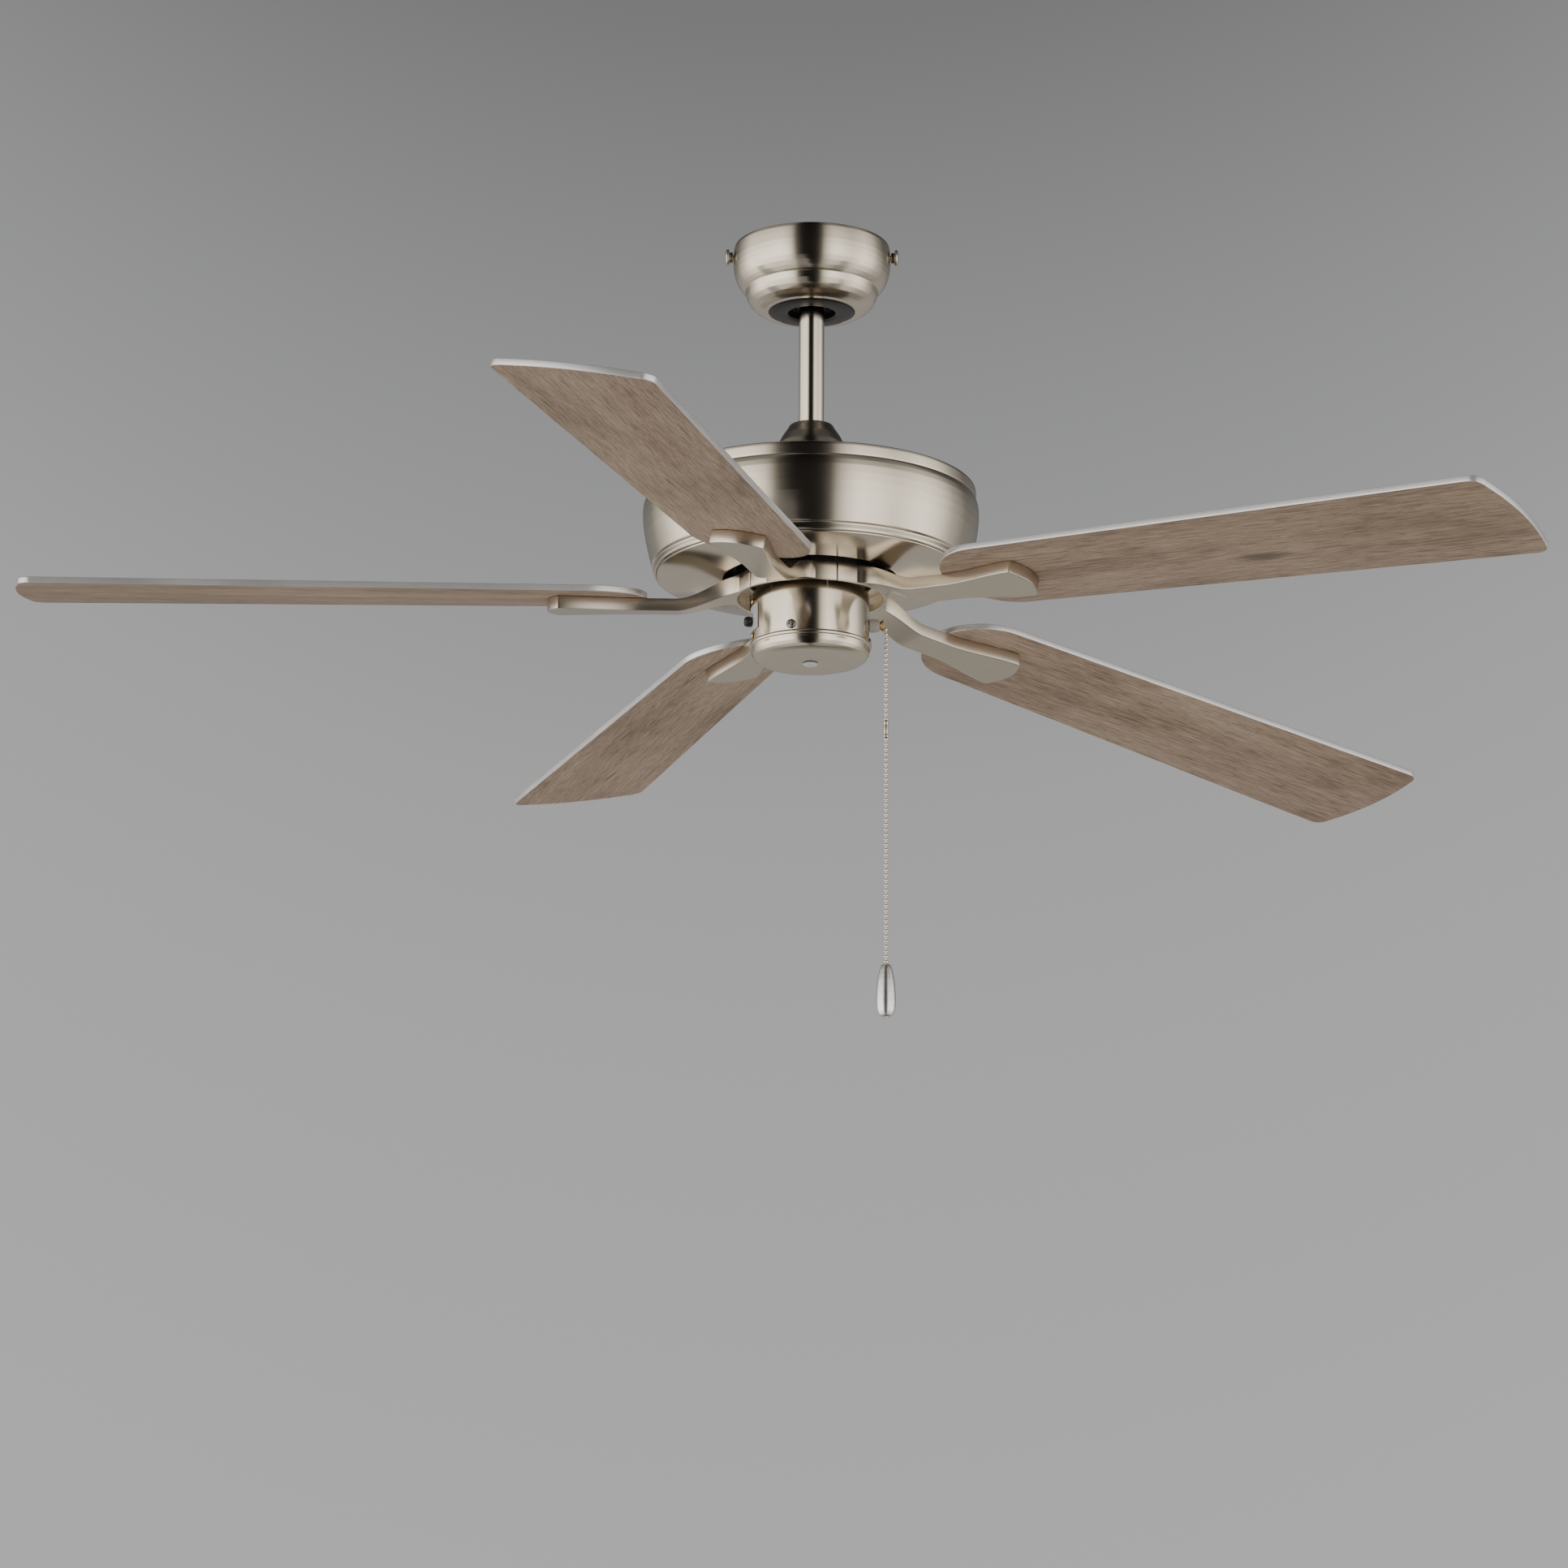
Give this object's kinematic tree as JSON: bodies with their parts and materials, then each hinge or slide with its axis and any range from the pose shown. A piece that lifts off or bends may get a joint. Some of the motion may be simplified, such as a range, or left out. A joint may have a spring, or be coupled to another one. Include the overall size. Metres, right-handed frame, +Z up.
{
  "type": "ceiling fan",
  "caption": "Ceiling fan that hangs on a short downrod: canopy, motor housing, flat paddle blades on cast irons, switch housing with a reverse switch and a pull chain, no lamp.",
  "frame": {"origin": "centre of the hanger bracket's top face, where it bears on the ceiling", "axes": "+Z up, out of the bracket's top face; -Z down the downrod to the blades; +X towards the pull chain; +Y completes the right-handed frame"},
  "size_m": [1.2292, 1.2747, 0.6672],
  "materials": {
    "nickel": "warm satin nickel plate, fine even sheen",
    "dark_nickel": "darker satin nickel",
    "oak": "weathered grey-brown oak face with silver edges and top",
    "steel": "plain steel",
    "zinc": "zinc plated steel",
    "chrome": "bright plate",
    "brass": "plain brass",
    "copper": "varnished copper winding",
    "iron": "laminated and cast iron",
    "black_paint": "black paint",
    "black_plastic": "black satin plastic",
    "pale_plastic": "off-white plastic"
  },
  "bodies": {
    "ceiling_mount": {"hanger_bracket": "zinc", "bracket_screw_1": "steel", "bracket_screw_2": "steel", "canopy": "nickel", "canopy_ring": "black_plastic", "canopy_screw_left": "nickel", "canopy_screw_right": "nickel"},
    "drop": {"hanger_ball": "black_plastic", "ball_pin": "steel", "downrod": "nickel", "coupling_cover": "dark_nickel", "motor_yoke": "zinc", "yoke_pin": "steel", "motor_shaft": "steel", "stator_core": "iron", "upper_windings": "copper", "lower_windings": "copper", "upper_bearing": "steel", "lower_bearing": "steel", "housing_top": "nickel", "housing_band": "nickel", "housing_bottom": "nickel", "mounting_plate": "zinc", "switch_housing": "nickel", "switch_cap": "nickel", "cap_plug": "chrome", "drum_screw_1": "steel", "drum_screw_2": "steel", "drum_screw_3": "steel", "run_capacitor": "black_plastic", "speed_switch": "black_plastic", "chain_bushing": "pale_plastic", "chain_mouth": "brass", "reverse_switch_body": "black_plastic", "reverse_switch_plate": "pale_plastic", "reverse_screw_upper": "brass", "reverse_screw_lower": "brass"},
    "rotor": {"rotor_top": "steel", "rotor_ring": "iron", "rotor_bottom": "black_paint", "blade_iron_1": "nickel", "blade_iron_2": "nickel", "blade_iron_3": "nickel", "blade_iron_4": "nickel", "blade_iron_5": "nickel", "blade_1": "oak", "blade_2": "oak", "blade_3": "oak", "blade_4": "oak", "blade_5": "oak"},
    "reverse_slider": {"reverse_knob": "black_plastic"},
    "pull_chain": {"pull_chain": "brass", "chain_connector": "chrome", "chain_fob": "nickel"}
  },
  "joints": [
    {"name": "hanger_tilt", "type": "hinge", "parent": "ceiling_mount", "child": "drop", "pos_m": [0, 0, -0.038], "axis": [0, 1, 0], "range_deg": [-12, 12]},
    {"name": "rotor_spin", "type": "hinge", "parent": "drop", "child": "rotor", "pos_m": [0, 0, -0.256], "axis": [0, 0, 1], "continuous": true},
    {"name": "reverse_slide", "type": "slide", "parent": "drop", "child": "reverse_slider", "axis": [0, 0, 1], "range_m": [0, 0.0055]},
    {"name": "chain_pull", "type": "slide", "parent": "drop", "child": "pull_chain", "axis": [0, 0, -1], "range_m": [0, 0.012], "stiffness_N_per_m": 400, "springref_m": -0.002, "deforming": ["pull_chain"]}
  ]
}
